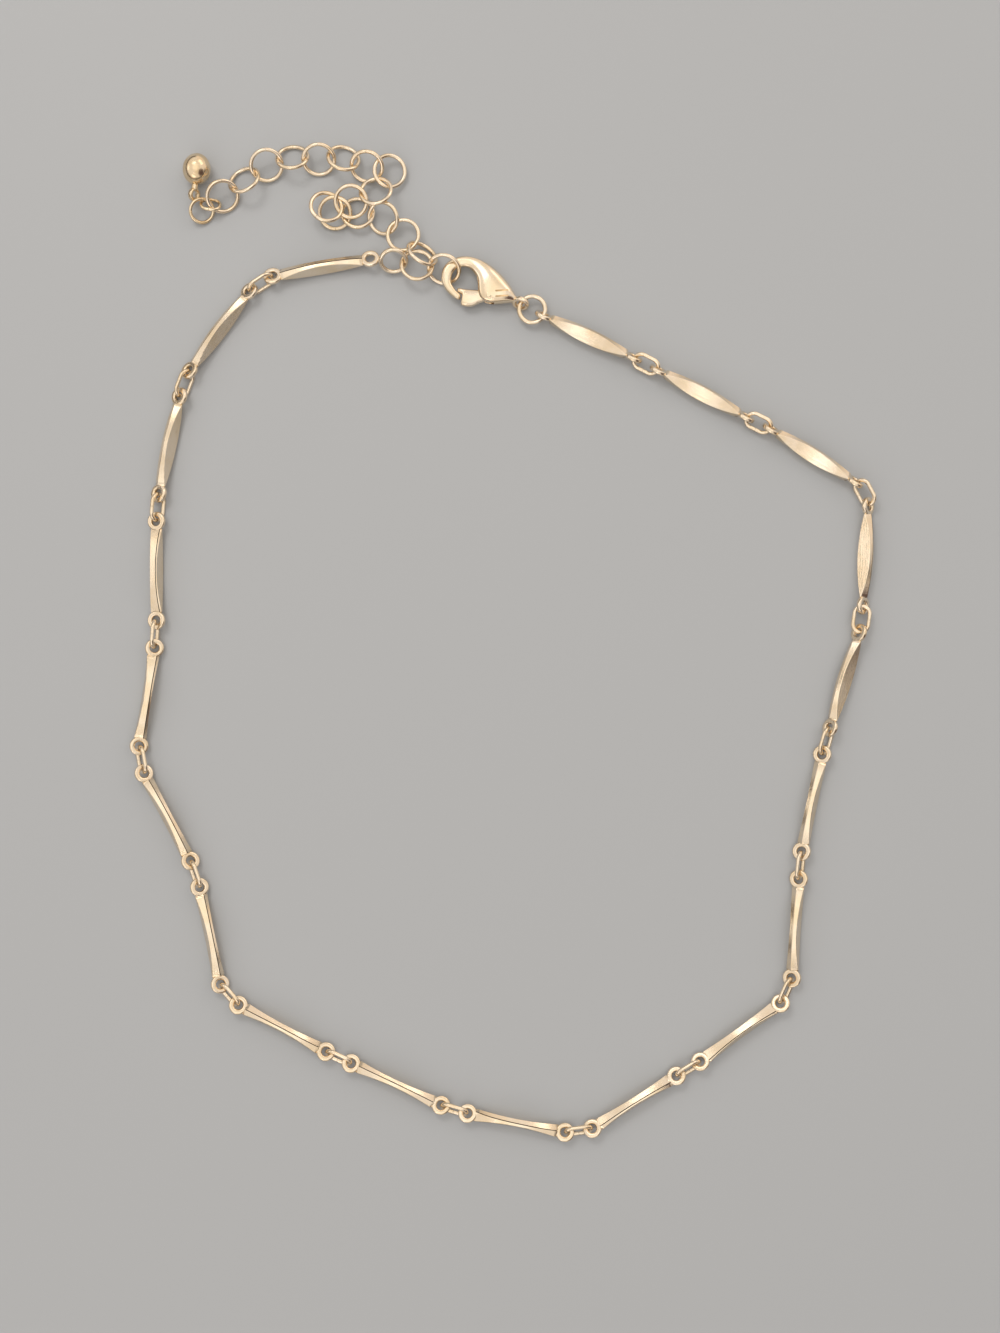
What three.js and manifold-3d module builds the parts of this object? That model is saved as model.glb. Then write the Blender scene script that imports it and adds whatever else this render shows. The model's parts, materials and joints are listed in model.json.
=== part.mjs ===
// A choker necklace in polished pale gold metal, lying on a level surface.
// Nineteen faceted bars are joined by oval rings. A lobster clasp hangs on one end of the row, and an
// extender of round links with a small drop on the other, and the clasp's hook holds one of its links.
// Millimetres, +Z up. A bar or link lies along its own X axis; heading turns it about Z, and tilt
// rolls it about its own length. The origin is under the middle of the necklace, on the surface.
import * as THREE from 'three';
import { mergeVertices } from 'three/addons/utils/BufferGeometryUtils.js';
import Module from 'manifold-3d';

const wasm = await Module();
wasm.setup();

// Bars: a hexagon that is tall and narrow at the middle, and low and wide at the ends. A low ridge runs
// along the top and the bottom, and a shoulder along each edge of the two pointed side faces.
const bar = {
  bodyLength: 10.4,
  eyeletSpacing: 12.5,
  eyeletOuterRadius: 1.18,
  eyeletHoleRadius: 0.62,
  eyeletThickness: 0.5,
  middle: { halfHeight: 1, shoulderWidth: 0.475, shoulderHeight: 0.88 },
  end: { halfHeight: 0.6, shoulderWidth: 0.8, shoulderHeight: 0.07 },
  stations: 6,
};
const eyeletGap = 3.5; // between the eyelet centres of two neighbouring bars

// Rings and links, by the centre line of their wire.
const connector = {
  halfLength: 1.65, halfWidth: 0.96, wireRadius: 0.22, steps: 14, sides: 6, squareness: 1.25,
};
const roundLink = { halfLength: 1.95, halfWidth: 1.95, wireRadius: 0.21, steps: 15, sides: 6 };
const claspRing = { halfLength: 1.64, halfWidth: 1.64, wireRadius: 0.29, steps: 14, sides: 6 };
const endRing = { halfLength: 1.6, halfWidth: 1.6, wireRadius: 0.275, steps: 14, sides: 6 };
const dropLink = { halfLength: 1.2, halfWidth: 0.95, wireRadius: 0.2, steps: 12, sides: 6 };
const dropRing = { halfLength: 1.45, halfWidth: 1.45, wireRadius: 0.22, steps: 12, sides: 6 };

// Lobster clasp, in its own frame: X from the hook's far side to the tail, Y to the outside of the loop.
const clasp = {
  place: { x: -7.7, y: 46.9, heading: -19 },
  thickness: 2.26,
  bevel: 0.18,
  hookThickness: 0.94, // of the hook's wire, where it stands clear of the surface
  hookEnds: 4.6, // along X, where the hook starts to thicken into the shoulder
  shoulderStarts: 5.7,
  neckStarts: 8.5,
  neckEnds: 10.2,
  pivot: { x: 6.7, y: -0.15 },
  pinRadius: 0.35,
  pinCover: 0.3, // from the body's faces to the ends of the pin
  boreRadius: 0.47,
  hubRadius: 0.78,
  hubClearance: 0.17,
  leverThickness: 0.9,
  leverBevel: 0.12,
  slotThickness: 1.14,
  tail: { x: 10.8, y: 0.3, outerRadius: 1.1, holeRadius: 0.6, thickness: 0.6, roll: 63 },
};

const drop = {
  place: { x: -38.1, y: 60.4, z: 1.74, heading: 82, tilt: 57, pitch: -11 },
  ballRadius: 1.74,
  ballLength: 3.9,
  neckRadius: 0.42,
  eyeReach: 1.15, // from the ball's end to the middle of the eye
  eyeOuterRadius: 0.85,
  eyeHoleRadius: 0.44,
  eyeThickness: 0.6,
};

const gold = { color: 0xe3c797, roughness: 0.16, metalness: 1 };
const deepGold = { color: 0xdcb469, roughness: 0.2, metalness: 1 };

// The row of bars, walked from the clasp's end, and the ring that follows each bar. Degrees.
// At the sharpest bend the ring is drawn a little to the outside of the loop, and up.
const rowStart = new THREE.Vector2(5.5, 42.1);
const row = [
  { heading: -25, roll: -67, ringHeading: -27, ringTilt: 28 },
  { heading: -28, roll: -67, ringHeading: -26, ringTilt: 28 },
  { heading: -32, roll: -66, ringHeading: -62, ringTilt: 38, ringAside: 0.39, ringLift: 0.18 },
  { heading: -93, roll: -49, ringHeading: -98, ringTilt: 4, ringAside: 0.04 },
  { heading: -107, roll: 57, ringHeading: -106, ringTilt: -48 },
  { heading: -102, roll: 28, ringHeading: -96, ringTilt: -60 },
  { heading: -94, roll: 27, ringHeading: -114, ringTilt: -56 },
  { heading: -144, roll: 26, ringHeading: -149, ringTilt: -56 },
  { heading: -148, roll: 21, ringHeading: -172, ringTilt: -54 },
  { heading: -191, roll: 16, ringHeading: -197, ringTilt: -56 },
  { heading: -205, roll: 17, ringHeading: -205, ringTilt: -56 },
  { heading: -208, roll: 19, ringHeading: -229, ringTilt: -56 },
  { heading: -258, roll: 24, ringHeading: -251, ringTilt: -62 },
  { heading: -242, roll: 27, ringHeading: -260, ringTilt: -56 },
  { heading: -279, roll: 20, ringHeading: -274, ringTilt: 82, ringAside: 0.06 },
  { heading: -270, roll: -18, ringHeading: -275, ringTilt: 55 },
  { heading: -282, roll: -33, ringHeading: -291, ringTilt: 50 },
  { heading: -307, roll: -35, ringHeading: -327, ringTilt: 58 },
  { heading: -350, roll: -24 },
];

// The links from the end of the row to the drop, in the order of the chain. The extender folds back
// on itself beside the clasp. Heading runs along the chain, and tilt rolls a link about it. Degrees.
// The links of one name bear on each other in the fold and are made as one solid.
const extender = [
  { name: 'end_ring', kind: endRing, x: -13.38, y: 48.89, z: 1.67, heading: 4, tilt: 46 },
  { name: 'extender_link_01', kind: roundLink, x: -10.44, y: 48.44, z: 1.35, heading: -16, tilt: -16 },
  { name: 'extender_link_02', kind: roundLink, x: -7.06, y: 47.9, z: 1.42, heading: -10, tilt: 39 },
  { name: 'extender_link_03', kind: roundLink, x: -9.79, y: 49.77, z: 1.83, heading: -39, tilt: -51 },
  { name: 'extender_link_04', kind: roundLink, x: -12.17, y: 52.19, z: 1.41, heading: 59, tilt: -5 },
  { name: 'extender_link_05', kind: roundLink, x: -14.73, y: 54.38, z: 1.22, heading: 136, tilt: -32 },
  { name: 'extender_link_06', kind: roundLink, x: -17.96, y: 55.18, z: 0.68, heading: 174, tilt: 13 },
  { name: 'extender_fold', kind: roundLink, x: -20.8, y: 55.1, z: 0.95, heading: 180, tilt: -20 },
  { name: 'extender_fold', kind: roundLink, x: -21.8, y: 55.6, z: 2, heading: 140, tilt: 20 },
  { name: 'extender_fold', kind: roundLink, x: -18.7, y: 56.3, z: 1.85, heading: 10, tilt: 18 },
  { name: 'extender_link_07', kind: roundLink, x: -15.59, y: 57.59, z: 1.88, heading: 20, tilt: -26 },
  { name: 'extender_link_08', kind: roundLink, x: -13.91, y: 60.31, z: 1.19, heading: 74, tilt: 16 },
  { name: 'extender_link_09', kind: roundLink, x: -16.75, y: 60.84, z: 1.41, heading: 173, tilt: -37 },
  { name: 'extender_link_10', kind: roundLink, x: -19.7, y: 61.9, z: 1.32, heading: 156, tilt: 33 },
  { name: 'extender_link_11', kind: roundLink, x: -22.8, y: 61.7, z: 1.38, heading: 187, tilt: -36 },
  { name: 'extender_link_12', kind: roundLink, x: -26.13, y: 61.96, z: 1.35, heading: 185, tilt: 34 },
  { name: 'extender_link_13', kind: roundLink, x: -29.36, y: 60.99, z: 1.4, heading: 201, tilt: -32 },
  { name: 'extender_link_14', kind: roundLink, x: -32.18, y: 59.13, z: 1.38, heading: 213, tilt: 36 },
  { name: 'extender_link_15', kind: roundLink, x: -34.9, y: 57.1, z: 1.39, heading: 215, tilt: -36 },
  { name: 'drop_link', kind: dropLink, x: -36.5, y: 56.15, z: 0.95, heading: 171, tilt: 38 },
  { name: 'drop_ring', kind: dropRing, x: -37.6, y: 55.4, z: 0.86, heading: 229, tilt: -27 },
];
const claspRingPlace = { x: 4.05, y: 42.9, z: 1.1, heading: -22, tilt: 4 };

const radians = THREE.MathUtils.degToRad;
const up = new THREE.Vector3(0, 0, 1);

// ---- solids and booleans ----

function toSolid(geometry) {
  const bare = geometry.clone();
  bare.deleteAttribute('normal');
  bare.deleteAttribute('uv');
  const merged = mergeVertices(bare, 1e-4);
  return new wasm.Manifold(new wasm.Mesh({
    numProp: 3,
    vertProperties: new Float32Array(merged.attributes.position.array),
    triVerts: new Uint32Array(merged.index.array),
  }));
}

function toGeometry(solid) {
  const mesh = solid.getMesh();
  const geometry = new THREE.BufferGeometry();
  geometry.setAttribute('position', new THREE.BufferAttribute(mesh.vertProperties, 3));
  geometry.setIndex(new THREE.BufferAttribute(mesh.triVerts, 1));
  geometry.computeVertexNormals();
  return geometry;
}

function join(...geometries) {
  return toGeometry(geometries.map(toSolid).reduce((whole, piece) => whole.add(piece)));
}

function cut(geometry, ...tools) {
  return toGeometry(tools.map(toSolid).reduce((whole, tool) => whole.subtract(tool), toSolid(geometry)));
}

function common(a, b) {
  return toGeometry(toSolid(a).intersect(toSolid(b)));
}

// ---- shared shapes ----

// An oval, or a circle where both halves are alike. A squareness over 1 fills out an oval's corners.
class Oval extends THREE.Curve {
  constructor(halfLength, halfWidth, squareness) {
    super();
    this.halfLength = halfLength;
    this.halfWidth = halfWidth;
    this.power = 1 / squareness;
  }

  getPoint(t, target = new THREE.Vector3()) {
    const angle = 2 * Math.PI * t;
    const along = Math.cos(angle);
    const across = Math.sin(angle);
    return target.set(
      this.halfLength * Math.sign(along) * Math.abs(along) ** this.power,
      this.halfWidth * Math.sign(across) * Math.abs(across) ** this.power,
      0,
    );
  }
}

// A closed ring of round wire, flat in its own XY plane.
function wireRing({ halfLength, halfWidth, wireRadius, steps, sides, squareness = 1 }) {
  const path = new Oval(halfLength, halfWidth, squareness);
  return new THREE.TubeGeometry(path, steps, wireRadius, sides, true);
}

// A flat washer about its own Z axis.
function washer(outerRadius, holeRadius, thickness, segments) {
  const half = thickness / 2;
  const profile = [
    new THREE.Vector2(holeRadius, -half),
    new THREE.Vector2(outerRadius, -half),
    new THREE.Vector2(outerRadius, half),
    new THREE.Vector2(holeRadius, half),
    new THREE.Vector2(holeRadius, -half),
  ];
  return new THREE.LatheGeometry(profile, segments).rotateX(Math.PI / 2);
}

// A flat plate of a plan outline between two heights, with its long edges bevelled.
function plate(shape, low, high, bevel = 0) {
  return new THREE.ExtrudeGeometry(shape, {
    depth: high - low - 2 * bevel,
    bevelEnabled: bevel > 0,
    bevelThickness: bevel,
    bevelSize: bevel,
    bevelOffset: -bevel,
    bevelSegments: 1,
    curveSegments: 2,
  }).translate(0, 0, low + bevel);
}

// A round pin about Z between two heights.
function rod(radius, low, high, segments = 14) {
  const length = high - low;
  return new THREE.CylinderGeometry(radius, radius, length, segments)
    .rotateX(Math.PI / 2)
    .translate(0, 0, (low + high) / 2);
}

// ---- bars ----

// The hexagon of a bar at a share of the way from its middle (0) to its end (1).
function barSection(share) {
  const blend = (name) => THREE.MathUtils.lerp(bar.middle[name], bar.end[name], share * share);
  const height = blend('halfHeight');
  const y = blend('shoulderWidth');
  const z = blend('shoulderHeight');
  return [[0, height], [y, z], [y, -z], [0, -height], [-y, -z], [-y, z]];
}

function barBody() {
  const corners = 6;
  const positions = [];
  const index = [];
  for (let i = 0; i <= bar.stations; i += 1) {
    const place = (2 * i) / bar.stations - 1;
    const x = (place * bar.bodyLength) / 2;
    barSection(Math.abs(place)).forEach(([y, z]) => positions.push(x, y, z));
  }
  for (let i = 0; i < bar.stations; i += 1) {
    for (let k = 0; k < corners; k += 1) {
      const a = i * corners + k;
      const b = i * corners + ((k + 1) % corners);
      index.push(a, a + corners, b, b, a + corners, b + corners);
    }
  }
  const last = bar.stations * corners;
  for (let k = 1; k < corners - 1; k += 1) {
    index.push(0, k, k + 1);
    index.push(last, last + k + 1, last + k);
  }
  const geometry = new THREE.BufferGeometry();
  geometry.setAttribute('position', new THREE.Float32BufferAttribute(positions, 3));
  geometry.setIndex(index);
  return geometry;
}

function barGeometry() {
  const { eyeletOuterRadius, eyeletHoleRadius, eyeletThickness, eyeletSpacing } = bar;
  const eyelet = (side) => washer(eyeletOuterRadius, eyeletHoleRadius, eyeletThickness, 12)
    .translate((side * eyeletSpacing) / 2, 0, 0);
  return join(barBody(), eyelet(-1), eyelet(1));
}

// How high the middle of a rolled bar lies when the bar touches the surface.
function barHeight(roll) {
  const lean = Math.abs(Math.sin(radians(roll)));
  const rise = Math.abs(Math.cos(radians(roll)));
  const { halfHeight, shoulderWidth, shoulderHeight } = bar.middle;
  const bodyReach = Math.max(halfHeight * rise, shoulderHeight * rise + shoulderWidth * lean);
  const eyeletReach = bar.eyeletOuterRadius * lean + (bar.eyeletThickness / 2) * rise;
  return Math.max(bodyReach, eyeletReach);
}

const necklace = new THREE.Group();

function metalMesh(name, geometry, finish, place, heading, tilt) {
  const mesh = new THREE.Mesh(geometry, new THREE.MeshStandardMaterial(finish));
  mesh.name = name;
  mesh.position.copy(place);
  mesh.rotation.set(radians(tilt), 0, radians(heading), 'ZYX');
  return mesh;
}

function numbered(name, number) {
  return `${name}_${String(number).padStart(2, '0')}`;
}

function addRow(group) {
  const barShape = barGeometry();
  const ringShape = wireRing(connector);
  const walker = rowStart.clone();
  const stepAlong = (heading, length) => {
    const from = walker.clone();
    walker.x += length * Math.cos(radians(heading));
    walker.y += length * Math.sin(radians(heading));
    return from.add(walker).multiplyScalar(0.5);
  };
  row.forEach((place, i) => {
    const barMiddle = stepAlong(place.heading, bar.eyeletSpacing);
    const height = barHeight(place.roll);
    const at = new THREE.Vector3(barMiddle.x, barMiddle.y, height);
    group.add(metalMesh(numbered('bar', i + 1), barShape, gold, at, place.heading, place.roll));
    const next = row[i + 1];
    if (!next) return;
    const { ringHeading, ringTilt, ringAside = 0, ringLift = 0 } = place;
    const ringMiddle = stepAlong(ringHeading, eyeletGap);
    const lean = Math.abs(Math.sin(radians(ringTilt)));
    const lowest = connector.halfWidth * lean + connector.wireRadius;
    const level = Math.max((height + barHeight(next.roll)) / 2, lowest) + ringLift;
    const ringAt = new THREE.Vector3(0, ringAside, 0)
      .applyAxisAngle(up, radians(ringHeading))
      .add(new THREE.Vector3(ringMiddle.x, ringMiddle.y, level));
    group.add(metalMesh(numbered('ring', i + 1), ringShape, gold, ringAt, ringHeading, ringTilt));
  });
}

// ---- extender, end rings and drop ----

function addExtender(group) {
  const solids = new Map();
  extender.forEach(({ name, kind, x, y, z, heading, tilt }) => {
    const finish = kind === dropRing || kind === dropLink ? deepGold : gold;
    const link = metalMesh(name, wireRing(kind), finish, new THREE.Vector3(x, y, z), heading, tilt);
    solids.set(name, [...(solids.get(name) ?? []), link]);
  });
  solids.forEach((links, name) => {
    if (links.length === 1) {
      group.add(links[0]);
      return;
    }
    links.forEach((link) => link.updateMatrix());
    const placed = links.map((link) => link.geometry.clone().applyMatrix4(link.matrix));
    group.add(metalMesh(name, join(...placed), gold, new THREE.Vector3(), 0, 0));
  });
}

// The ball with its neck and eye, along X with the eye at the low end, about the ball's middle.
function dropGeometry() {
  const { ballRadius, ballLength, neckRadius, eyeReach } = drop;
  const steps = 9;
  const profile = [];
  for (let i = 0; i <= steps; i += 1) {
    const angle = Math.PI * (i / steps - 0.5);
    profile.push(new THREE.Vector2(ballRadius * Math.cos(angle), (ballLength / 2) * Math.sin(angle)));
  }
  const ball = new THREE.LatheGeometry(profile, 14).rotateZ(Math.PI / 2);
  const neck = rod(neckRadius, -ballLength / 2 - 0.5, 0, 10).rotateY(Math.PI / 2);
  const eye = washer(drop.eyeOuterRadius, drop.eyeHoleRadius, drop.eyeThickness, 12)
    .translate(-ballLength / 2 - eyeReach, 0, 0);
  return join(ball, neck, eye);
}

function addDrop(group) {
  const { x, y, z, heading, tilt, pitch } = drop.place;
  const mesh = metalMesh('drop', dropGeometry(), deepGold, new THREE.Vector3(x, y, z), heading, tilt);
  mesh.rotation.y = radians(pitch);
  group.add(mesh);
}

// ---- clasp ----

// The plan of the body: a hook whose tip stops short of the lever, a hub, and a neck.
function claspPlan() {
  const shape = new THREE.Shape();
  const through = (points) => shape.splineThru(points.map(([x, y]) => new THREE.Vector2(x, y)));
  shape.moveTo(3.3, -1.62);
  through([[2.4, -1.55], [1.3, -1.15], [0.35, -0.3], [0, 1.0], [0.5, 2.5], [1.8, 3.5], [3.6, 3.9]]);
  through([[5.4, 3.65], [7.2, 2.95], [8.6, 2.1], [9.9, 0.95]]);
  shape.lineTo(9.9, 0.15);
  through([[8.9, -0.3], [7.8, -0.85], [6.7, -1.1], [5.7, -1.1]]);
  shape.lineTo(5.1, -0.4);
  through([[4.85, 0.3], [4.7, 1.2], [3.9, 2.1], [2.9, 2.45], [1.95, 2.05], [1.4, 1.1], [1.55, 0.0]]);
  shape.lineTo(2.2, -0.5);
  shape.lineTo(2.35, -1.05);
  shape.lineTo(3.3, -1.12);
  shape.closePath();
  return shape;
}

// The side view, as a prism along Y: full thickness at the hub, and thinner at the hook and the neck.
function claspSideView() {
  const middle = clasp.thickness / 2;
  const thin = clasp.hookThickness / 2;
  const { thickness, hookEnds, shoulderStarts, neckStarts, neckEnds } = clasp;
  const points = [
    [-1, middle - thin], [hookEnds, middle - thin], [shoulderStarts, 0], [neckStarts, 0],
    [neckEnds, middle - thin], [neckEnds, middle + thin], [neckStarts, thickness],
    [shoulderStarts, thickness], [hookEnds, middle + thin], [-1, middle + thin],
  ];
  const shape = new THREE.Shape(points.map(([x, z]) => new THREE.Vector2(x, z)));
  return plate(shape, -5, 5).rotateX(Math.PI / 2);
}

// The slot that the lever swings in, open to the hook's opening and to the lower side.
function claspSlot() {
  const { pivot, slotThickness, thickness } = clasp;
  const reach = clasp.hubRadius + clasp.hubClearance;
  const shape = new THREE.Shape();
  shape.moveTo(4, -3);
  shape.lineTo(pivot.x + reach, -3);
  shape.lineTo(pivot.x + reach, pivot.y);
  shape.absarc(pivot.x, pivot.y, reach, 0, Math.PI * 0.6, false);
  shape.lineTo(4.4, 1.75);
  shape.lineTo(4, 1.75);
  shape.closePath();
  return plate(shape, (thickness - slotThickness) / 2, (thickness + slotThickness) / 2);
}

function claspBodyGeometry() {
  const { thickness, tail, pivot, pinCover } = clasp;
  const atTail = (geometry) => geometry
    .rotateX(radians(tail.roll))
    .translate(tail.x, tail.y, thickness / 2);
  const block = common(plate(claspPlan(), 0, thickness, clasp.bevel), claspSideView());
  const eyelet = atTail(washer(tail.outerRadius, tail.holeRadius, tail.thickness, 14));
  const eyeletHole = atTail(rod(tail.holeRadius, -tail.thickness, tail.thickness));
  const pin = rod(clasp.pinRadius, pinCover, thickness - pinCover).translate(pivot.x, pivot.y, 0);
  return join(cut(block, claspSlot(), eyeletHole), eyelet, pin);
}

// The lever: a hub on the pin, an arm to the inside of the hook's tip, and a nub for the thumb.
function leverPlan() {
  const { pivot, hubRadius } = clasp;
  const shape = new THREE.Shape();
  shape.moveTo(pivot.x, pivot.y - hubRadius);
  shape.absarc(pivot.x, pivot.y, hubRadius, -Math.PI / 2, Math.PI / 2, false);
  shape.lineTo(5.2, 0.25);
  shape.lineTo(4.2, -0.2);
  shape.lineTo(2.65, -0.45);
  shape.lineTo(2.6, -0.9);
  shape.lineTo(3.55, -0.98);
  shape.lineTo(3.75, -1.5);
  shape.lineTo(4.2, -2.15);
  shape.lineTo(5.0, -2.35);
  shape.lineTo(5.5, -2.0);
  shape.lineTo(5.7, -1.3);
  shape.closePath();
  return shape;
}

function leverGeometry() {
  const { thickness, leverThickness, pivot } = clasp;
  const low = (thickness - leverThickness) / 2;
  const body = plate(leverPlan(), low, low + leverThickness, clasp.leverBevel);
  return cut(body, rod(clasp.boreRadius, 0, thickness).translate(pivot.x, pivot.y, 0));
}

function addClasp(group) {
  const { x, y, heading } = clasp.place;
  const place = new THREE.Vector3(x, y, 0);
  group.add(metalMesh('clasp_body', claspBodyGeometry(), gold, place, heading, 0));
  group.add(metalMesh('clasp_lever', leverGeometry(), gold, place, heading, 0));
  const ring = claspRingPlace;
  const ringPlace = new THREE.Vector3(ring.x, ring.y, ring.z);
  group.add(metalMesh('clasp_ring', wireRing(claspRing), gold, ringPlace, ring.heading, ring.tilt));
}

addRow(necklace);
addClasp(necklace);
addExtender(necklace);
addDrop(necklace);

// The origin goes under the middle of the whole necklace, on the surface that it lies on.
const extent = new THREE.Box3().setFromObject(necklace, true);
const middle = extent.getCenter(new THREE.Vector3());
necklace.position.set(-middle.x, -middle.y, -extent.min.z);

export default necklace;
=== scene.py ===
import json
import math

import bmesh
import bpy
import numpy as np
from mathutils import Matrix, Vector


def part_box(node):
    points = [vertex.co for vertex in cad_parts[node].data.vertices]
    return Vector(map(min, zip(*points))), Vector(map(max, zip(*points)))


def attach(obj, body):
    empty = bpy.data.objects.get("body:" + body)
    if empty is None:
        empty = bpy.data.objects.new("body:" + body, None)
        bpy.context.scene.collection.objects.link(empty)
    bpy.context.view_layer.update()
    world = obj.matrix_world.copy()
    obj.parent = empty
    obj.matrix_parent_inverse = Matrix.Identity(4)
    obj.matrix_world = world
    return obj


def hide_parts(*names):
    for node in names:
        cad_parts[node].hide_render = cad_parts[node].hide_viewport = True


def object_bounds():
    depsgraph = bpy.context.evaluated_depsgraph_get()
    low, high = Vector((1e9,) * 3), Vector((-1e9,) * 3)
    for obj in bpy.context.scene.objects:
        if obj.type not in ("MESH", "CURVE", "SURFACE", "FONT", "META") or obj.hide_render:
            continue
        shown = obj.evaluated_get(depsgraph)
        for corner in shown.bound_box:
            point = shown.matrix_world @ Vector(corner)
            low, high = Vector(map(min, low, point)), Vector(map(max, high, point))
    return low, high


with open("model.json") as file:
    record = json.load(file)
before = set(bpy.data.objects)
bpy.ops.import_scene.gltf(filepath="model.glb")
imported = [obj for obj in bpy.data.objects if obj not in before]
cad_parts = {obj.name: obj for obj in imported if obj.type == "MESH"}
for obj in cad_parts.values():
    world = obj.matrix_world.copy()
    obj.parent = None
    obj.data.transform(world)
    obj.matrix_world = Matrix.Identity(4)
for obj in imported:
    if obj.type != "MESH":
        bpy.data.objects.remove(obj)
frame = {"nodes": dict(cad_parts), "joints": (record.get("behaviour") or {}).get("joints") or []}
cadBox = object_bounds()
mm = 0.001
scene = bpy.context.scene
print("frame loaded:", len(frame["nodes"]), "nodes")


camera = {"height": 220 * mm, "seenHeight": 168 * mm, "aimHeight": 1 * mm, "near": 5 * mm,
          "sensor": 36,  # mm, along the picture's longer side
          "aside": (-0.332 * mm, -2.988 * mm)}  # from the middle of the necklace's box
lampDistance = 0.6
softboxes = [  # name, azimuth, elevation, width, height, watts, colour, seen in the metal
    ("keyBox", 118, 50, 0.24, 0.18, 0.77, "#fff8f0", False),
    ("keyGlow", 116, 54, 0.22, 0.15, 0.15, "#fff8f0", True),
    ("lampGlint", -114, 53, 0.06, 0.06, 0.03, "#ffffff", True),
    ("lowLeftBox", 168, 26, 0.30, 0.16, 0.08, "#fff3e0", True),
    ("frontLeftBox", 244, 26, 0.30, 0.20, 0.20, "#fff1e8", True),
    ("backRightBox", 52, 34, 0.36, 0.20, 0.22, "#fff4e2", True),
]
# The room as broad soft patches of light, full to the inner radius and gone by the outer one.
roomPatches = [  # name, azimuth, elevation, inner and outer radius, colour
    ("walls", 0, 90, 68, 84, "#dcd5cd"),
    ("ceiling", 0, 90, 12, 30, "#fffaf0"),
    ("lowLight", 46, 4, 40, 54, "#dcd0c4"),
    ("doorway", -36, 32, 18, 26, "#544543"),
]
room = {"horizon": "#554f4a", "strength": 1.26}
floorLook = {"size": 3.0, "colour": "#a8acb1", "roughness": 0.42}


def toLinear(hexColour):
    # sRGB hex to linear red, green, blue and alpha
    parts = [int(hexColour[i:i + 2], 16) / 255 for i in (1, 3, 5)]
    return [c / 12.92 if c <= 0.04045 else ((c + 0.055) / 1.055) ** 2.4 for c in parts] + [1.0]


def addNode(tree, kind, settings=None, links=None):
    # adds a shader node, sets its options and sockets, and links its inputs
    node = tree.nodes.new("ShaderNode" + kind)
    for key, value in (settings or {}).items():
        if isinstance(key, str) and hasattr(node, key):
            setattr(node, key, value)
        else:
            node.inputs[key].default_value = value
    for key, source in (links or {}).items():
        tree.links.new(source, node.inputs[key])
    return node


def placeCamera():
    middle = (cadBox[0] + cadBox[1]) / 2
    lens = bpy.data.cameras.new("camera")
    lens.sensor_width = camera["sensor"]
    lens.lens = camera["sensor"] / camera["seenHeight"] * (camera["height"] - camera["aimHeight"])
    lens.clip_start = camera["near"]
    eye = bpy.data.objects.new("camera", lens)
    eye.location = (middle.x + camera["aside"][0], middle.y + camera["aside"][1], camera["height"])
    scene.collection.objects.link(eye)
    scene.camera = eye


def outwardAt(azimuth, elevation):
    around, rise = math.radians(azimuth), math.radians(elevation)
    return Vector((math.cos(around) * math.cos(rise), math.sin(around) * math.cos(rise),
                   math.sin(rise)))


def placeLights():
    world = bpy.data.worlds.new("room")
    scene.world = world
    world.use_nodes = True
    tree = world.node_tree
    outward = addNode(tree, "TexCoord").outputs["Generated"]
    light = addNode(tree, "RGB").outputs["Color"]
    light.default_value = toLinear(room["horizon"])
    for name, azimuth, elevation, inner, outer, colour in roomPatches:
        facing = addNode(tree, "VectorMath", {"operation": "DOT_PRODUCT",
                                              1: outwardAt(azimuth, elevation)}, {0: outward})
        cover = addNode(tree, "MapRange", {"interpolation_type": "SMOOTHSTEP",
                                           "From Min": math.cos(math.radians(outer)),
                                           "From Max": math.cos(math.radians(inner))},
                        {"Value": facing.outputs["Value"]})
        mixed = addNode(tree, "Mix", {"data_type": "RGBA", 7: toLinear(colour)},
                        {0: cover.outputs["Result"], 6: light})
        light = mixed.outputs[2]
    background = tree.nodes["Background"]
    tree.links.new(light, background.inputs["Color"])
    background.inputs["Strength"].default_value = room["strength"]
    for name, azimuth, elevation, width, height, watts, colour, mirrored in softboxes:
        light = bpy.data.lights.new(name, "AREA")
        light.shape = "RECTANGLE"
        light.size, light.size_y = width, height
        light.energy = watts
        light.color = toLinear(colour)[:3]
        box = bpy.data.objects.new(name, light)
        outward = outwardAt(azimuth, elevation)
        box.location = outward * lampDistance
        box.rotation_euler = outward.to_track_quat("Z", "Y").to_euler()
        box.visible_camera = False
        box.visible_glossy = mirrored
        scene.collection.objects.link(box)


def layFloor():
    bm = bmesh.new()
    bmesh.ops.create_grid(bm, x_segments=1, y_segments=1, size=floorLook["size"] / 2)
    mesh = bpy.data.meshes.new("floor")
    bm.to_mesh(mesh)
    bm.free()
    floor = bpy.data.objects.new("floor", mesh)
    scene.collection.objects.link(floor)
    paint = bpy.data.materials.new("matt_pale_paint")
    paint.use_nodes = True
    shader = paint.node_tree.nodes["Principled BSDF"]
    shader.inputs["Base Color"].default_value = toLinear(floorLook["colour"])
    shader.inputs["Roughness"].default_value = floorLook["roughness"]
    mesh.materials.append(paint)


scene.view_settings.view_transform = "Standard"
placeCamera()
placeLights()
layFloor()
print("camera, lights and floor placed")


# Zinc alloy castings and brass wire, tumbled bright and then plated with pale gold. The plating is
# smooth and mirror-like, with a faint grain from polishing along each bar.
palePlating = {"name": "pale_gold_plating", "colour": "#f6e6cf", "deeper": "#eed9b9",
               "roughness": 0.13, "roughest": 0.24,
               "cloudSize": 2.5 * mm, "scratchDepth": 0.012 * mm}
# The same plating on the drop and its rings, thicker and yellower.
warmPlating = {"name": "warm_gold_plating", "colour": "#f2dfc0", "deeper": "#e6cba2",
               "roughness": 0.14, "roughest": 0.25,
               "cloudSize": 1.5 * mm, "scratchDepth": 0.012 * mm}
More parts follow.
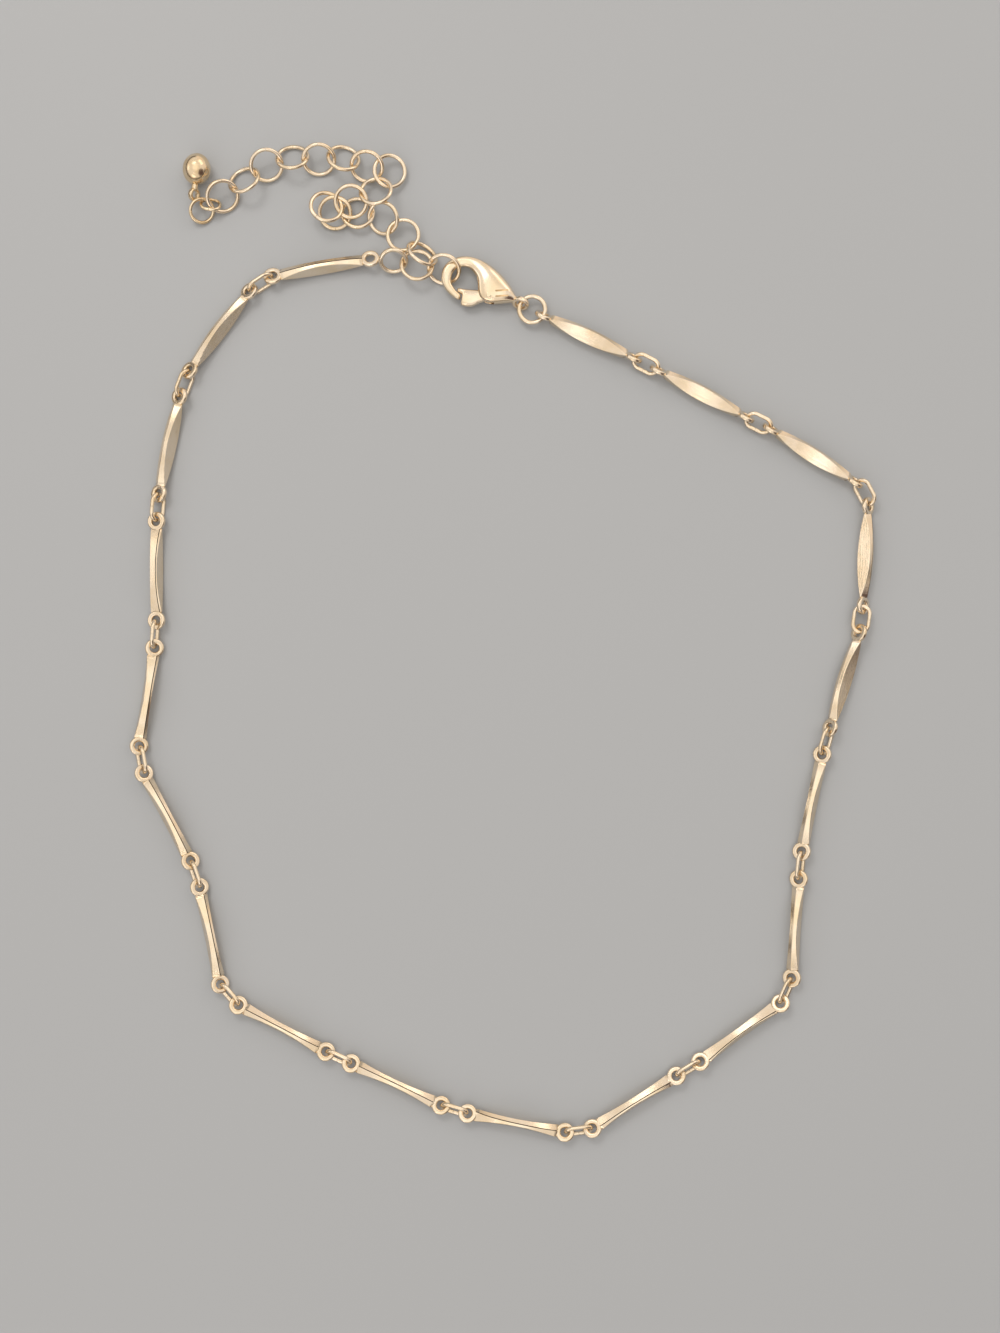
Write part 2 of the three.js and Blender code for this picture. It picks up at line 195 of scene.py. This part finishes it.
# Painted shade in a bar's seam: a dark material on the seam's faces, drawing it as a thin dark
# line.
seamShadeLook = {"name": "painted_seam_shade", "colour": "#33261c", "deeper": "#57432f", "roughness": 0.6,
               "cloudSize": 2.5 * mm}
# Real polishing lines are finer than this, and wouldn't show.
polishGrain = {"length": 2.5 * mm, "spacing": 0.11 * mm, "roughness": 0.6}
pitting = {"size": 0.16 * mm, "depth": 0.006 * mm}  # the cast skin under the plating
# The part of the noise that each follows.
noiseSpread = {"tint": (0.4, 0.7), "dullness": (0.35, 0.7)}


def platedMetal(look, grained):
    metal = bpy.data.materials.new(look["name"] + ("_polished_lengthwise" if grained else ""))
    metal.use_nodes = True
    tree = metal.node_tree
    shader = tree.nodes["Principled BSDF"]
    shader.inputs["Metallic"].default_value = 1.0
    place = addNode(tree, "TexCoord").outputs["Object"]
    clouds = addNode(tree, "TexNoise", {"Scale": 1 / look["cloudSize"], "Detail": 3.0},
                     {"Vector": place})
    low, high = noiseSpread["tint"]
    tint = addNode(tree, "MapRange", {"From Min": low, "From Max": high},
                   {"Value": clouds.outputs["Fac"]})
    colour = addNode(tree, "Mix", {"data_type": "RGBA", 6: toLinear(look["colour"]),
                                   7: toLinear(look["deeper"])}, {0: tint.outputs["Result"]})
    tree.links.new(colour.outputs[2], shader.inputs["Base Color"])
    pits = addNode(tree, "TexNoise", {"Scale": 1 / pitting["size"], "Detail": 2.0},
                   {"Vector": place})
    pitBump = addNode(tree, "Bump", {"Strength": 1.0, "Distance": pitting["depth"]},
                      {"Height": pits.outputs["Fac"]})
    normal, dullness = pitBump.outputs["Normal"], clouds.outputs["Fac"]
    if grained:
        own = addNode(tree, "Attribute", {"attribute_name": "ownPlace"}).outputs["Vector"]
        stretch = addNode(tree, "Mapping", {"vector_type": "POINT", "Scale": (
            1 / polishGrain["length"], 1 / polishGrain["spacing"], 1 / polishGrain["spacing"])},
            {"Vector": own})
        lines = addNode(tree, "TexNoise", {"Scale": 1.0, "Detail": 2.0,
                                           "Roughness": polishGrain["roughness"]},
                        {"Vector": stretch.outputs["Vector"]})
        lineBump = addNode(tree, "Bump", {"Strength": 1.0, "Distance": look["scratchDepth"]},
                           {"Height": lines.outputs["Fac"], "Normal": normal})
        normal, dullness = lineBump.outputs["Normal"], lines.outputs["Fac"]
    low, high = noiseSpread["dullness"]
    dull = addNode(tree, "MapRange", {"From Min": low, "From Max": high,
                                      "To Min": look["roughness"], "To Max": look["roughest"]},
                   {"Value": dullness})
    tree.links.new(dull.outputs["Result"], shader.inputs["Roughness"])
    tree.links.new(normal, shader.inputs["Normal"])
    return metal


def seamShading(look):
    # a dark, rough material that paints shade into a seam
    dark = bpy.data.materials.new(look["name"])
    dark.use_nodes = True
    tree = dark.node_tree
    shader = tree.nodes["Principled BSDF"]
    shader.inputs["Roughness"].default_value = look["roughness"]
    place = addNode(tree, "TexCoord").outputs["Object"]
    clouds = addNode(tree, "TexNoise", {"Scale": 1 / look["cloudSize"]}, {"Vector": place})
    colour = addNode(tree, "Mix", {"data_type": "RGBA", 6: toLinear(look["colour"]),
                                   7: toLinear(look["deeper"])}, {0: clouds.outputs["Fac"]})
    tree.links.new(colour.outputs[2], shader.inputs["Base Color"])
    return dark


barMetal = platedMetal(palePlating, True)
seamShadeMetal = seamShading(seamShadeLook)
paleMetal = platedMetal(palePlating, False)
warmMetal = platedMetal(warmPlating, False)
print("metals made")

weldDistance = 0.0001 * mm
# Edges of a bar's body longer than this run along it. The crease is in degrees.
smoothing = {"longEdge": 0.25 * mm, "crease": 40}


def nodeAxes(name):
    # the middle of a CAD node and its own axes: its longest way, and its flattest way
    points = np.array([v.co for v in frame["nodes"][name].data.vertices])
    points = np.unique(points.round(7), axis=0)
    low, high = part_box(name)
    axes = np.linalg.eigh(np.cov((points - points.mean(0)).T))[1]
    longest, flattest = Vector(axes[:, 2]), Vector(axes[:, 0])
    return (low + high) / 2, longest, flattest if flattest.z > 0 else -flattest


def placing(middle, longest, flattest):
    across = flattest.cross(longest)
    turn = Matrix((longest, across, flattest)).transposed().to_4x4()
    return Matrix.Translation(middle) @ turn


def toObject(name, bm):
    mesh = bpy.data.meshes.new(name)
    bmesh.ops.remove_doubles(bm, verts=bm.verts, dist=weldDistance)
    bmesh.ops.recalc_face_normals(bm, faces=bm.faces)
    bm.to_mesh(mesh)
    bm.free()
    piece = bpy.data.objects.new(name, mesh)
    scene.collection.objects.link(piece)
    return piece


def applied(piece):
    # keeps what the modifiers make and drops them
    evaluated = piece.evaluated_get(bpy.context.evaluated_depsgraph_get())
    shape = bpy.data.meshes.new_from_object(evaluated)
    piece.modifiers.clear()
    piece.data = shape
    return piece


def combined(piece, others, operation):
    # joins or cuts the piece with other solids, which are used up
    for other in others:
        step = piece.modifiers.new(operation.lower(), "BOOLEAN")
        step.object, step.operation, step.solver = other, operation, "EXACT"
        applied(piece)
        bpy.data.objects.remove(other)
    return piece


def smoothed(piece, angle=smoothing["crease"], facetHalf=0):
    # soft shading that keeps flat faces flat, and the long edges of a bar's body sharp
    piece.data.shade_smooth()
    piece.data.set_sharp_from_angle(angle=math.radians(angle))
    for edge in piece.data.edges if facetHalf else ():
        a, b = (piece.data.vertices[v].co for v in edge.vertices)
        if abs(a.x - b.x) > smoothing["longEdge"] and max(abs(a.x), abs(b.x)) < facetHalf:
            edge.use_edge_sharp = True
    step = piece.modifiers.new("faces", "WEIGHTED_NORMAL")
    step.keep_sharp = True
    return applied(piece)


def rounded(piece):
    step = piece.modifiers.new("round", "SUBSURF")
    step.levels = step.render_levels = 2
    return applied(piece)


def setInPlace(piece, name, node, place, metal, body="necklace"):
    # moves a finished shape to its place; it keeps its own coordinates, which the grain follows
    mesh = piece.data
    own = mesh.attributes.new("ownPlace", "FLOAT_VECTOR", "POINT")
    spots = np.array([v.co for v in mesh.vertices], np.float32)
    own.data.foreach_set("vector", spots.ravel())
    mesh.transform(place)
    mesh.update()
    piece.name = mesh.name = name
    mesh.materials.clear()
    mesh.materials.append(metal)
    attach(piece, body)
    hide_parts(node)
    return piece


def ringOf(outer, hole, thickness, rounding, steps=40):
    # a flat ring about Z with rounded edges
    bm = bmesh.new()
    reach = (outer - hole) / 2
    corners = [bm.verts.new((hole + reach + a * reach, 0, b * thickness / 2))
               for a, b in ((-1, -1), (1, -1), (1, 1), (-1, 1))]
    bm.faces.new(corners)
    bmesh.ops.bevel(bm, geom=bm.verts[:], offset=rounding, segments=4, profile=0.5,
                    affect="VERTICES", material=-1)
    edges = bm.edges[:]
    bmesh.ops.delete(bm, geom=bm.faces[:], context="FACES_ONLY")
    bmesh.ops.spin(bm, geom=edges, cent=(0, 0, 0), axis=(0, 0, 1), angle=math.tau, steps=steps,
                   use_merge=True)
    return bm


def rodOf(radius, low, high, rounding, segments=32):
    bm = bmesh.new()
    bmesh.ops.create_cone(bm, cap_ends=True, segments=segments, radius1=radius, radius2=radius,
                          depth=high - low, matrix=Matrix.Translation((0, 0, (low + high) / 2)))
    if rounding:
        rims = [e for e in bm.edges if abs(e.verts[0].co.z - e.verts[1].co.z) < weldDistance]
        bmesh.ops.bevel(bm, geom=rims, offset=rounding, segments=3, profile=0.5, affect="EDGES",
                        material=-1)
    return bm


def loft(sections):
    # a solid grown from section to section, all of as many points, closed at both ends
    bm = bmesh.new()
    ring = [bm.verts.new(point) for point in sections[0]]
    edges = [bm.edges.new((ring[i - 1], ring[i])) for i in range(len(ring))]
    bm.faces.new(ring)
    for section in sections[1:]:
        grown = bmesh.ops.extrude_edge_only(bm, edges=edges)["geom"]
        following = {}
        for face in (g for g in grown if isinstance(g, bmesh.types.BMFace)):
            for edge in face.edges:
                a, b = edge.verts
                if a in ring and b not in ring:
                    following[a] = b
                elif b in ring and a not in ring:
                    following[b] = a
        ring = [following[v] for v in ring]
        edges = [g for g in grown if isinstance(g, bmesh.types.BMEdge)
                 and g.verts[0] in ring and g.verts[1] in ring]
        for vert, point in zip(ring, section):
            vert.co = point
    bm.faces.new(ring)
    return bm


def prism(outline, low, high):
    bm = bmesh.new()
    face = bm.faces.new([bm.verts.new((x, y, low)) for x, y in outline])
    grown = bmesh.ops.extrude_face_region(bm, geom=[face])["geom"]
    bmesh.ops.translate(bm, verts=[g for g in grown if isinstance(g, bmesh.types.BMVert)],
                        vec=(0, 0, high - low))
    return bm


bar = {
    "halfBody": 5.2 * mm, "eyeletAt": 6.25 * mm, "eyeletOuter": 1.19 * mm, "eyeletHole": 0.56 * mm,
    "eyeletThickness": 0.58 * mm, "eyeletRounding": 0.2 * mm, "stations": 28,
    # at the middle and at the end: the ridge's height, the shoulders' width and their height
    "middle": (1.0, 0.475, 0.88), "end": (0.60, 0.80, 0.07),
    "edgeRounding": 0.045 * mm, "edgeShare": 0.3,  # of a face's width, at most
    "endRounding": 0.09 * mm, "endInset": 0.84,
    "seamHalf": 0.055 * mm, "seamShare": 0.4, "seamDepth": 0.32 * mm, "seamTaper": 0.6,
}
# The casting's seam runs along a bar's upper side. Its place at the start, middle and end of the
# bar: 1 is the shoulder on the outside of the loop, and -1 the one on the inside.
seams = {
    4: (0.2, 0.2, 0.2), 8: (0.64, 0.74, 0.66), 9: (0.4, 0.5, 0.4), 10: (0.0, 0.2, -0.5),
    11: (0.1, 0.0, -0.08), 12: (0.0, 0.2, 0.14), 13: (-0.2, -0.25, -0.3), 14: (0.0, 0.0, 0.0),
    15: (-0.4, -0.45, -0.5), 16: (-0.7, -0.7, -0.7), 19: (-0.1, -0.1, -0.1),
}


def sizesAt(place):
    # the ridge's height, the shoulders' width and their height, from 0 in the middle to 1 at an end
    return [(a + (b - a) * place * place) * mm for a, b in zip(bar["middle"], bar["end"])]


def apexAt(place, seam):
    # the top of the section: the ridge, or where a seam runs beside it, on the slope down
    ridge, side, shoulder = sizesAt(place)
    before, at, after = seam or (0, 0, 0)
    off = at + (after - before) / 2 * place + ((before + after) / 2 - at) * place * place
    return Vector((side * off, shoulder + (ridge - shoulder) * (1 - abs(off))))


def barSection(place, seam):
    # points round the bar: a hexagon with its corners taken off, and a notch for the seam
    ridge, side, shoulder = sizesAt(place)
    hexagon = [apexAt(place, seam)] + [Vector(corner) for corner in (
        (side, shoulder), (side, -shoulder), (0, -ridge), (-side, -shoulder), (-side, shoulder))]
    points = []
    for i, corner in enumerate(hexagon):
        ways = [neighbour - corner for neighbour in (hexagon[i - 1], hexagon[(i + 1) % 6])]
        if seam and i == 0:
            rims = [corner + way * min(bar["seamShare"], bar["seamHalf"] / way.length)
                    for way in ways]
            foot = corner - Vector((0, bar["seamDepth"]))
            feet = [foot + (rim - corner) * bar["seamTaper"] for rim in rims]
            points += [rims[0], *feet, rims[1]]
        else:
            points += [corner + way * min(bar["edgeShare"], bar["edgeRounding"] / way.length)
                       for way in ways]
    return points


def facesInSeam(shape, seam):
    found = []
    for face in shape.data.polygons if seam else ():
        place = face.center.x / bar["halfBody"]
        apex = apexAt(place, seam)
        depth = (apex.y - face.center.z) / bar["seamDepth"]
        if abs(place) < 1 and abs(face.center.y - apex.x) < bar["seamHalf"] and 0.2 < depth < 1.2:
            found.append(face.index)
    return found


def makeBarShape(seam):
    places = [i / bar["stations"] * 2 - 1 for i in range(bar["stations"] + 1)]
    reach = bar["halfBody"] + bar["endRounding"]
    steps = [(p * bar["halfBody"], p, 1.0) for p in places]
    steps = [(-reach, -1, bar["endInset"]), *steps, (reach, 1, bar["endInset"])]
    bm = loft([[(x, y * inset, z * inset) for y, z in barSection(place, seam)]
               for x, place, inset in steps])
    body = toObject("barShape", bm)
    eyelets = []
    for side in (-1, 1):
        bm = ringOf(bar["eyeletOuter"], bar["eyeletHole"], bar["eyeletThickness"],
                    bar["eyeletRounding"])
        bmesh.ops.translate(bm, verts=bm.verts, vec=(side * bar["eyeletAt"], 0, 0))
        eyelets.append(toObject("eyelet", bm))
    return smoothed(combined(body, eyelets, "UNION"), facetHalf=bar["halfBody"] + weldDistance)


def barPlacing(node):
    # the bar's own Y to the outside of the loop
    middle, longest, flattest = nodeAxes(node)
    if flattest.cross(longest).dot(middle - (cadBox[0] + cadBox[1]) / 2) < 0:
        longest = -longest
    return placing(middle, longest, flattest)


darkFaces = 0
for number in range(1, 20):
    node, seam = f"bar_{number:02d}", seams.get(number)
    shape = makeBarShape(seam)
    inSeam = facesInSeam(shape, seam)
    piece = setInPlace(shape, f"faceted_bar_{number:02d}", node, barPlacing(node), barMetal)
    # the faces inside the seam get the painted seam shade
    if inSeam:
        piece.data.materials.append(seamShadeMetal)
    for index in inSeam:
        piece.data.polygons[index].material_index = 1
    darkFaces += len(inSeam)
print("bars made, with", darkFaces, "faces in their seams")


connector = {"halfLength": 1.65 * mm, "halfWidth": 0.96 * mm, "wire": 0.25 * mm}
roundLink = {"halfLength": 1.95 * mm, "halfWidth": 1.95 * mm, "wire": 0.255 * mm}
claspRing = {"halfLength": 1.64 * mm, "halfWidth": 1.64 * mm, "wire": 0.29 * mm}
endRing = {"halfLength": 1.6 * mm, "halfWidth": 1.6 * mm, "wire": 0.275 * mm}
dropLink = {"halfLength": 1.2 * mm, "halfWidth": 0.95 * mm, "wire": 0.2 * mm}
dropRing = {"halfLength": 1.45 * mm, "halfWidth": 1.45 * mm, "wire": 0.22 * mm}
split = {"gap": 0.035 * mm, "rounding": 0.03 * mm}  # where the wire's ends meet
wireMesh = {"sides": 16, "halfTurn": 24, "turn": 56}  # round the wire, and along its bends


def bentWire(kind):
    # wire bent round into an oval or a circle, with its two ends just apart
    bm = bmesh.new()
    straight = kind["halfLength"] - kind["halfWidth"]
    gap = split["gap"]
    begin = Matrix.Translation((gap / 2 if straight else 0, kind["halfWidth"], 0))
    bmesh.ops.create_circle(bm, segments=wireMesh["sides"], radius=kind["wire"],
                            matrix=begin @ Matrix.Rotation(math.pi / 2, 4, "Y"))

    def run(edges, length):
        grown = bmesh.ops.extrude_edge_only(bm, edges=edges)["geom"]
        verts = [g for g in grown if isinstance(g, bmesh.types.BMVert)]
        bmesh.ops.translate(bm, verts=verts, vec=(length, 0, 0))
        return [g for g in grown if isinstance(g, bmesh.types.BMEdge)
                and g.verts[0] in verts and g.verts[1] in verts]

    def bend(edges, x, angle, steps):
        grown = bmesh.ops.spin(bm, geom=edges, cent=(x, 0, 0), axis=(0, 0, -1), angle=angle,
                               steps=steps)["geom_last"]
        return [g for g in grown if isinstance(g, bmesh.types.BMEdge)]

    edges = bm.edges[:]
    if straight:
        edges = run(edges, straight - gap / 2)
        edges = bend(edges, straight, math.pi, wireMesh["halfTurn"])
        edges = run(edges, -2 * straight)
        edges = bend(edges, -straight, math.pi, wireMesh["halfTurn"])
        run(edges, straight - gap / 2)
    else:
        bend(edges, 0, math.tau - gap / kind["halfWidth"], wireMesh["turn"])
    bmesh.ops.holes_fill(bm, edges=[e for e in bm.edges if e.is_boundary], sides=0)
    return bm


def makeRing(name, node, kind, metal):
    middle, longest, flattest = nodeAxes(node)
    if kind["halfLength"] == kind["halfWidth"]:
        longest = (Vector((1, 0, 0)) - flattest * flattest.x).normalized()
    shape = smoothed(toObject("wire", bentWire(kind)))
    setInPlace(shape, name, node, placing(middle, longest, flattest), metal)


for number in range(1, 19):
    makeRing(f"oval_ring_{number:02d}", f"ring_{number:02d}", connector, paleMetal)
for number in range(1, 16):
    makeRing(f"round_link_{number:02d}", f"extender_link_{number:02d}", roundLink, paleMetal)
makeRing("tail_jump_ring", "clasp_ring", claspRing, paleMetal)
makeRing("end_jump_ring", "end_ring", endRing, paleMetal)
makeRing("small_oval_link", "drop_link", dropLink, warmMetal)
makeRing("drop_jump_ring", "drop_ring", dropRing, warmMetal)
print("rings and links made")

# The three links at the fold, which bear on each other.
foldPlaces = [  # middle in mm, then heading and tilt
    (-21.132, 54.192, 0.95, 180, -20), (-22.132, 54.692, 2.0, 140, 20),
    (-19.032, 55.392, 1.85, 10, 18),
]


def turned(x, y, z, heading, tilt, pitch=0):
    return (Matrix.Translation((x * mm, y * mm, z * mm))
            @ Matrix.Rotation(math.radians(heading), 4, "Z")
            @ Matrix.Rotation(math.radians(pitch), 4, "Y")
            @ Matrix.Rotation(math.radians(tilt), 4, "X"))


def makeFold():
    whole = bmesh.new()
    for place in foldPlaces:
        link = bentWire(roundLink)
        bmesh.ops.transform(link, matrix=turned(*place), verts=link.verts)
        part = bpy.data.meshes.new("link")
        link.to_mesh(part)
        link.free()
        whole.from_mesh(part)
        bpy.data.meshes.remove(part)
    return smoothed(toObject("foldShape", whole))


setInPlace(makeFold(), "folded_links", "extender_fold", Matrix(), paleMetal)
print("fold made")


# In the clasp's own frame: X from the hook's far side to the tail, Y to the outside of the loop,
# and Z from the middle of its thickness. All in mm.
clasp = {
    "heading": -19, "pivot": (6.7, -0.15), "squareness": 2.6, "sides": 12,
    "stations": [  # from the hook's tip round to the neck: outer point, inner point, half thickness
        ((3.47, -1.88), (3.41, -1.14), 0.42), ((2.8, -1.86), (2.8, -1.02), 0.45),
        ((1.5, -1.38), (2.05, -0.45), 0.46), ((0.46, -0.5), (1.55, 0.0), 0.47),
        ((0.0, 0.9), (1.4, 0.9), 0.47), ((0.25, 2.1), (1.6, 1.6), 0.47),
        ((1.1, 3.1), (2.05, 2.1), 0.47), ((2.4, 3.75), (2.75, 2.42), 0.47),
        ((3.8, 3.9), (3.4, 2.38), 0.55), ((5.0, 3.72), (4.05, 1.95), 0.75),
        ((6.1, 3.4), (4.6, 1.35), 0.95), ((7.0, 3.02), (4.95, 0.3), 1.08),
        ((7.7, 2.65), (5.6, -1.0), 1.13), ((8.3, 2.28), (6.7, -1.12), 1.13),
        ((8.8, 1.95), (7.6, -0.95), 1.10), ((9.25, 1.58), (8.4, -0.6), 0.98),
        ((9.6, 1.25), (9.2, -0.2), 0.75), ((9.95, 0.92), (9.9, 0.1), 0.50),
        ((10.3, 0.8), (10.3, 0.2), 0.38),
    ],
    # the slot that the lever swings in, open below: it goes round the pivot and up to its roof
    "slotHalf": 0.57, "slotRound": 0.95, "slotArc": 0.6 * math.pi, "slotLeft": 4, "slotFoot": -3,
    "slotRoof": 1.75, "slotRoofEnd": 4.4, "pinRadius": 0.35, "pinHalf": 1.08, "pinRounding": 0.08,
    "tail": (10.8, 0.3), "tailOuter": 1.1, "tailHole": 0.6, "tailThickness": 0.6, "tailRoll": 63,
    "tailRounding": 0.17,
    # cast grooves beside the neck: middle and heading
    "grooves": [(8.12, 0.87, 24), (8.35, 0.23, 24)], "groovePitch": 7, "grooveRounding": 0.099,
    "grooveLength": 1.7, "grooveRadius": 0.11, "grooveDepth": 0.32, "grooveHeight": 1.12,
    "crease": 50,
}
lever = {
    "hub": 0.78, "bore": 0.47, "halfThickness": 0.5, "bevel": 0.2,
    "stations": [  # from the tip to the hub, as for the body
        ((2.68, -0.93), (2.62, -0.46), 0.32), ((3.3, -1.03), (3.2, -0.36), 0.42),
        ((3.57, -1.13), (3.5, -0.32), 0.47), ((3.62, -2.2), (3.7, -0.28), 0.5),
        ((3.8, -2.42), (3.95, -0.22), 0.52), ((4.6, -2.33), (4.7, -0.02), 0.52),
        ((5.3, -2.05), (5.3, 0.15), 0.52), ((5.85, -1.35), (5.9, 0.4), 0.52),
        ((6.7, -0.88), (6.7, 0.55), 0.5),
    ],
}


def claspPlace():
    hinge = Vector(frame["joints"][0]["pos_m"])
    turn = Matrix.Rotation(math.radians(clasp["heading"]), 4, "Z")
    return (Matrix.Translation(hinge) @ turn
            @ Matrix.Translation((-clasp["pivot"][0] * mm, -clasp["pivot"][1] * mm, 0)))


def roundedSection(outer, inner, half):
    # a squarish oval between two points of the plan, let out for what the smoothing takes in
    swell = 1 / (2 / 3 + math.cos(math.tau / clasp["sides"]) / 3)
    outer, inner = Vector(outer), Vector(inner)
    middle, reach = (outer + inner) / 2, (outer - inner) / 2 * swell
    points = []
    for i in range(clasp["sides"]):
        angle = math.tau * (i + 0.5) / clasp["sides"]
        along, up = (math.copysign(abs(v) ** (2 / clasp["squareness"]), v)
                     for v in (math.cos(angle), math.sin(angle)))
        spot = middle + reach * along
        points.append((spot.x * mm, spot.y * mm, half * swell * up * mm))
    return points


def makeClaspBody():
    sections = [roundedSection(*station) for station in clasp["stations"]]
    body = rounded(toObject("claspShape", loft(sections)))
    x, y = clasp["pivot"]
    reach = clasp["slotRound"]
    slot = [(clasp["slotLeft"], clasp["slotFoot"]), (x + reach, clasp["slotFoot"])]
    slot += [(x + reach * math.cos(a), y + reach * math.sin(a))
             for a in np.linspace(0, clasp["slotArc"], 20)]
    slot += [(clasp["slotRoofEnd"], clasp["slotRoof"]), (clasp["slotLeft"], clasp["slotRoof"])]
    slot = [(px * mm, py * mm) for px, py in slot]
    half = clasp["slotHalf"] * mm
    cutters = [toObject("slot", prism(slot, -half, half))]
    tail = (Matrix.Translation((clasp["tail"][0] * mm, clasp["tail"][1] * mm, 0))
            @ Matrix.Rotation(math.radians(clasp["tailRoll"]), 4, "X"))
    through = clasp["tailThickness"] * mm
    hole = rodOf(clasp["tailHole"] * mm, -through, through, 0)
    bmesh.ops.transform(hole, matrix=tail, verts=hole.verts)
    cutters.append(toObject("tailHole", hole))
    length = clasp["grooveLength"] * mm
    deepen = Matrix.Diagonal((clasp["grooveDepth"] / clasp["grooveRadius"], 1, 1, 1))
    for gx, gy, heading in clasp["grooves"]:
        for side in (-1, 1):
            groove = rodOf(clasp["grooveRadius"] * mm, -length / 2, length / 2,
                           clasp["grooveRounding"] * mm)
            bmesh.ops.transform(groove, matrix=deepen, verts=groove.verts)
            lie = (Matrix.Translation((gx * mm, gy * mm, side * clasp["grooveHeight"] * mm))
                   @ Matrix.Rotation(math.radians(heading), 4, "Z")
                   @ Matrix.Rotation(math.radians(90 + side * clasp["groovePitch"]), 4, "Y"))
            bmesh.ops.transform(groove, matrix=lie, verts=groove.verts)
            cutters.append(toObject("groove", groove))
    combined(body, cutters, "DIFFERENCE")
    eye = ringOf(clasp["tailOuter"] * mm, clasp["tailHole"] * mm, clasp["tailThickness"] * mm,
                 clasp["tailRounding"] * mm)
    bmesh.ops.transform(eye, matrix=tail, verts=eye.verts)
    pin = rodOf(clasp["pinRadius"] * mm, -clasp["pinHalf"] * mm, clasp["pinHalf"] * mm,
                clasp["pinRounding"] * mm)
    bmesh.ops.translate(pin, verts=pin.verts, vec=(x * mm, y * mm, 0))
    combined(body, [toObject("eye", eye), toObject("pin", pin)], "UNION")
    return smoothed(body, clasp["crease"])


def makeLever():
    x, y = clasp["pivot"]
    half = lever["halfThickness"] * mm
    sections = [roundedSection(*station) for station in lever["stations"]]
    shape = rounded(toObject("leverShape", loft(sections)))
    hub, bore = (rodOf(radius * mm, -reach, reach, bevel * mm) for radius, reach, bevel in (
        (lever["hub"], half, lever["bevel"]), (lever["bore"], 2 * half, 0)))
    for bm in (hub, bore):
        bmesh.ops.translate(bm, verts=bm.verts, vec=(x * mm, y * mm, 0))
    combined(shape, [toObject("hub", hub)], "UNION")
    combined(shape, [toObject("bore", bore)], "DIFFERENCE")
    return smoothed(shape, clasp["crease"])


setInPlace(makeClaspBody(), "lobster_body", "clasp_body", claspPlace(), paleMetal)
setInPlace(makeLever(), "lobster_lever", "clasp_lever", claspPlace(), paleMetal,
           body="lever")
print("clasp made")


drop = {
    "place": (-38.432, 59.492, 1.74, 82, 57, -11),  # middle in mm, then heading, tilt and pitch
    "radius": 1.74, "halfLength": 1.95, "neck": 0.42, "neckReach": 0.5, "eyeReach": 1.15,
    "eyeOuter": 0.85, "eyeHole": 0.44, "eyeThickness": 0.6, "eyeRounding": 0.15,
    "segments": 48, "rings": 28, "crease": 45,
}


def makeDrop():
    ball = bmesh.new()
    bmesh.ops.create_uvsphere(ball, u_segments=drop["segments"], v_segments=drop["rings"], radius=1)
    size = Matrix.Diagonal((drop["radius"] * mm, drop["radius"] * mm, drop["halfLength"] * mm, 1))
    toX = Matrix.Rotation(math.pi / 2, 4, "Y")
    bmesh.ops.transform(ball, matrix=toX @ size, verts=ball.verts)
    body = toObject("dropShape", ball)
    neck = rodOf(drop["neck"] * mm, -(drop["halfLength"] + drop["neckReach"]) * mm, 0, 0)
    bmesh.ops.transform(neck, matrix=toX, verts=neck.verts)
    eye = ringOf(drop["eyeOuter"] * mm, drop["eyeHole"] * mm, drop["eyeThickness"] * mm,
                 drop["eyeRounding"] * mm)
    eyeAt = -(drop["halfLength"] + drop["eyeReach"]) * mm
    bmesh.ops.translate(eye, verts=eye.verts, vec=(eyeAt, 0, 0))
    combined(body, [toObject("neck", neck), toObject("eye", eye)], "UNION")
    return smoothed(body, drop["crease"])


setInPlace(makeDrop(), "oval_drop", "drop", turned(*drop["place"]), warmMetal)
print("drop made")
